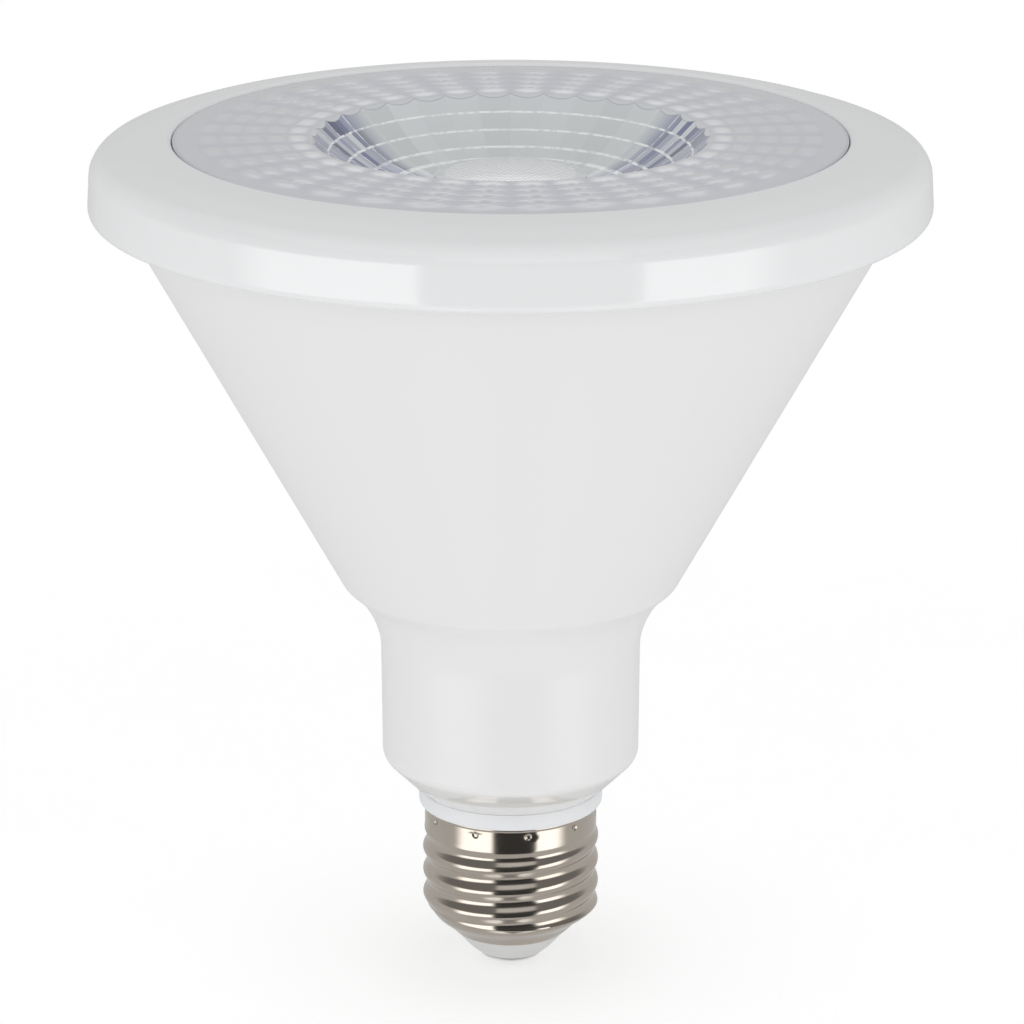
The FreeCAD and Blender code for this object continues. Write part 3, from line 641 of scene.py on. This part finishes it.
# crisp edges between the facets
bpy.ops.mesh.select_all(action="DESELECT")
bpy.ops.object.mode_set(mode="OBJECT")
corners = lensPlate.data.vertices
for edge in lensPlate.data.edges:
    ends = [corners[index].co for index in edge.vertices]
    inBowl = all(lens["button"] + 1 < math.hypot(end.x, end.y) / mm < innerRim + 0.1 for end in ends)
    above = all(end.z / mm > bowlFloor - 0.1 for end in ends)
    level = abs(ends[0].z - ends[1].z) < near
    edge.select = inBowl and above and (level or all(columnPlace(end) == 0 for end in ends))
bpy.ops.object.mode_set(mode="EDIT")
bpy.ops.mesh.mark_sharp()
selectRing(lensPlate, lens["edge"], lensTop)
bpy.ops.mesh.bevel(offset=lens["edgeRound"] * mm, segments=3, profile=0.5, affect="EDGES")
finishPiece(lensPlate, lensFinish(), 22, "lens")
print("lens made")


insideLook = {  # two shades, roughness, metallic, grain scale, grain stretch
    "led_tray": ((0.80, 0.80, 0.82), (0.68, 0.68, 0.70), 0.38, 1.0, 120, (1, 1, 12)),
    "heat_liner": ((0.78, 0.78, 0.80), (0.66, 0.66, 0.68), 0.42, 1.0, 120, (1, 1, 12)),
    "lens_seal": ((0.50, 0.50, 0.52), (0.44, 0.44, 0.46), 0.75, 0.0, 400, (1, 1, 1)),
    "thermal_pad": ((0.55, 0.58, 0.62), (0.48, 0.50, 0.54), 0.85, 0.0, 500, (1, 1, 1)),
    "led_board": ((0.86, 0.87, 0.88), (0.80, 0.81, 0.83), 0.4, 0.0, 300, (1, 1, 1)),
    "led_packages": ((0.90, 0.74, 0.22), (0.85, 0.62, 0.12), 0.35, 0.0, 900, (1, 1, 1)),
    "board_screws": ((0.62, 0.62, 0.64), (0.50, 0.50, 0.52), 0.3, 1.0, 700, (1, 1, 1)),
    "driver_board": ((0.05, 0.26, 0.11), (0.04, 0.20, 0.08), 0.45, 0.0, 250, (1, 1, 1)),
    "input_capacitor": ((0.05, 0.06, 0.09), (0.035, 0.04, 0.06), 0.35, 0.0, 400, (1, 1, 1)),
    "output_capacitor": ((0.05, 0.06, 0.09), (0.035, 0.04, 0.06), 0.35, 0.0, 400, (1, 1, 1)),
    "film_capacitor": ((0.70, 0.22, 0.05), (0.58, 0.16, 0.03), 0.3, 0.0, 400, (1, 1, 1)),
    "bridge_rectifier": ((0.03, 0.03, 0.033), (0.02, 0.02, 0.022), 0.55, 0.0, 900, (1, 1, 1)),
    "driver_chip": ((0.03, 0.03, 0.033), (0.02, 0.02, 0.022), 0.55, 0.0, 900, (1, 1, 1)),
    "output_diode": ((0.03, 0.03, 0.033), (0.02, 0.02, 0.022), 0.55, 0.0, 900, (1, 1, 1)),
    "chip_resistors": ((0.04, 0.04, 0.045), (0.02, 0.02, 0.022), 0.5, 0.0, 900, (1, 1, 1)),
    "transformer_core": ((0.06, 0.06, 0.065), (0.035, 0.035, 0.04), 0.65, 0.0, 700, (1, 1, 1)),
    "transformer_winding": ((0.80, 0.58, 0.08), (0.70, 0.47, 0.05), 0.4, 0.0, 300, (1, 1, 8)),
    "fuse_resistor": ((0.16, 0.32, 0.22), (0.12, 0.25, 0.17), 0.45, 0.0, 600, (1, 1, 1)),
    "neutral_lead": ((0.74, 0.74, 0.72), (0.66, 0.66, 0.64), 0.5, 0.0, 600, (1, 1, 1)),
    "led_lead_plus": ((0.55, 0.05, 0.04), (0.42, 0.03, 0.03), 0.5, 0.0, 600, (1, 1, 1)),
    "led_lead_minus": ((0.05, 0.05, 0.05), (0.03, 0.03, 0.03), 0.5, 0.0, 600, (1, 1, 1)),
}


def grainedFinish(name, first, second, rough, metal, scale, stretch):
    finish = newFinish(name)
    grain = finish.noise(scale, 4.0, stretch=stretch)
    return finish.surface(
        Base_Color=finish.between(grain, colour(*first), colour(*second)),
        Metallic=metal,
        Roughness=rough * 0.8 + grain * (rough * 0.4),
        Normal=finish.bump(grain, 0.25, 0.05 * mm))


for nodeName, look in insideLook.items():
    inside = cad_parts[nodeName]
    inside.data.materials.clear()
    inside.data.materials.append(grainedFinish(nodeName + "Finish", *look))
print("inside finished")


studio = {
    "cameraBack": 0.6387, "cameraHigh": 0.2701, "cameraDown": 17.38, "cameraLens": 160.28,
    "frameShift": 0.0014, "floorSize": 6.0, "floorDrop": 0.0002,
    "paper": (0.75, 0.75, 0.75), "paperShade": (0.73, 0.73, 0.73), "paperGlow": 0.40,
    "around": 0.93, "overhead": 0.67, "fromFront": 0.22,  # light that falls on the lamp
    "room": 0.60, "boxLight": 2.1, "gap": 0.05, "aboveBoxes": 0.20, "aboveGap": 0.75,  # what its gloss shows
    "footBoxes": 0.7, "footGap": 0.3,
    # where each fades in and out: bearings in degrees
    "leftBox": (-82, -64, -26, -23), "rightBox": (34, 37, 62, 82), "gapWide": (-24, -21, 31, 35),
    "frontWide": (90, 130), "fromFrontWide": (50, 100),
    # and heights from -1 straight down to 1 straight up
    "boxHigh": (-0.55, -0.45, 0.08, 0.2), "gapHigh": (-0.72, -0.6, 0.42, 0.54),
    "aboveHigh": (0.1, 0.22, 0.66, 0.76), "footHigh": (-0.96, -0.925),
    "overheadHigh": (0.45, 0.75), "fromFrontHigh": (0.6, 0.85),
}

deselectAll()
bpy.ops.object.camera_add(location=(0, -studio["cameraBack"], studio["cameraHigh"]),
                          rotation=(math.radians(90 - studio["cameraDown"]), 0, 0))
camera = bpy.context.object
camera.name = "photoCamera"
camera.data.lens = studio["cameraLens"]
camera.data.sensor_width = 36
camera.data.shift_x = studio["frameShift"]
camera.data.clip_start = 0.01
bpy.context.scene.camera = camera

bpy.ops.mesh.primitive_plane_add(size=studio["floorSize"], location=(0, 0, -studio["floorDrop"]))
floor = bpy.context.object
floor.name = "paleFloor"
floor.visible_glossy = False
floorFinish = newFinish("palePaper")
paper = floorFinish.noise(30, 3.0)
floor.data.materials.append(floorFinish.surface(
    Base_Color=floorFinish.between(paper, colour(*studio["paper"]), colour(*studio["paperShade"])),
    Emission_Color=colour(1, 1, 1), Emission_Strength=studio["paperGlow"],
    Roughness=0.9))


# a strip light behind the lamp that falls on the lens alone, for the soft streaks on its pads
strip = {"width": 0.42, "height": 0.10, "power": 0.075, "place": (0, 0.73, 0.47), "aim": 24.5}
bpy.ops.object.light_add(type="AREA", location=strip["place"],
                         rotation=(math.radians(strip["aim"] - 90), 0, 0))
stripLight = bpy.context.object
stripLight.name = "stripLight"
stripLight.data.shape = "RECTANGLE"
stripLight.data.size = strip["width"]
stripLight.data.size_y = strip["height"]
stripLight.data.energy = strip["power"]
stripLight.data.diffuse_factor = 0.0
lensOnly = bpy.data.collections.new("lensOnly")
lensOnly.objects.link(lensPlate)
stripLight.light_linking.receiver_collection = lensOnly


def studioWorld():
    # a white tent; its gloss shows a low soft box either side of the camera and a dark gap between them
    world = bpy.data.worlds.new("whiteTent")
    bpy.context.scene.world = world
    tent = Finish(world, "Generated")
    x, y, z = tent.splitPlace()
    bearing = x.maths("ARCTAN2", x, 0 - y) * (180 / math.pi)  # degrees from the camera's side, right is more
    away = abs(bearing)

    def span(value, low, lowFull, highFull, high):  # 1 between the two middle values, 0 beyond the outer ones
        return tent.fade(value, low, lowFull) * tent.fade(value, highFull, high, 1.0, 0.0)

    boxes = span(bearing, *studio["leftBox"]) + span(bearing, *studio["rightBox"])
    gap = span(bearing, *studio["gapWide"])
    front = tent.fade(away, *studio["frontWide"], 1.0, 0.0)
    foot = tent.fade(z, *studio["footHigh"], 1.0, 0.0)
    room = studio["room"]
    shown = room + boxes * span(z, *studio["boxHigh"]) * (studio["boxLight"] - room)
    shown = shown + gap * span(z, *studio["gapHigh"]) * (studio["gap"] - room)
    shown = shown + span(z, *studio["aboveHigh"]) * front * (1 - gap) * (studio["aboveBoxes"] - room)
    shown = shown + gap * tent.fade(z, *studio["gapHigh"][2:]) * (studio["aboveGap"] - room)
    shown = shown + foot * (boxes * studio["footBoxes"] - gap * studio["footGap"])
    cast = tent.fade(z, *studio["overheadHigh"], studio["around"], studio["overhead"])
    frontCast = tent.fade(away, *studio["fromFrontWide"], studio["fromFront"], 0.0)
    cast = cast + frontCast * tent.fade(z, *studio["fromFrontHigh"], 1.0, 0.0)
    path = tent.node("ShaderNodeLightPath", {}, {}, "Is Glossy Ray")
    level = cast + path * (shown - cast)
    seen = tent.node("ShaderNodeLightPath", {}, {}, "Is Camera Ray")
    strength = level + seen * (1 - level)
    background = tent.node("ShaderNodeBackground", {}, {"Color": colour(1, 1, 1), "Strength": strength})
    tent.node("ShaderNodeOutputWorld", {}, {"Surface": background}, None)


studioWorld()
bpy.context.scene.view_settings.view_transform = "Standard"
print("studio made")
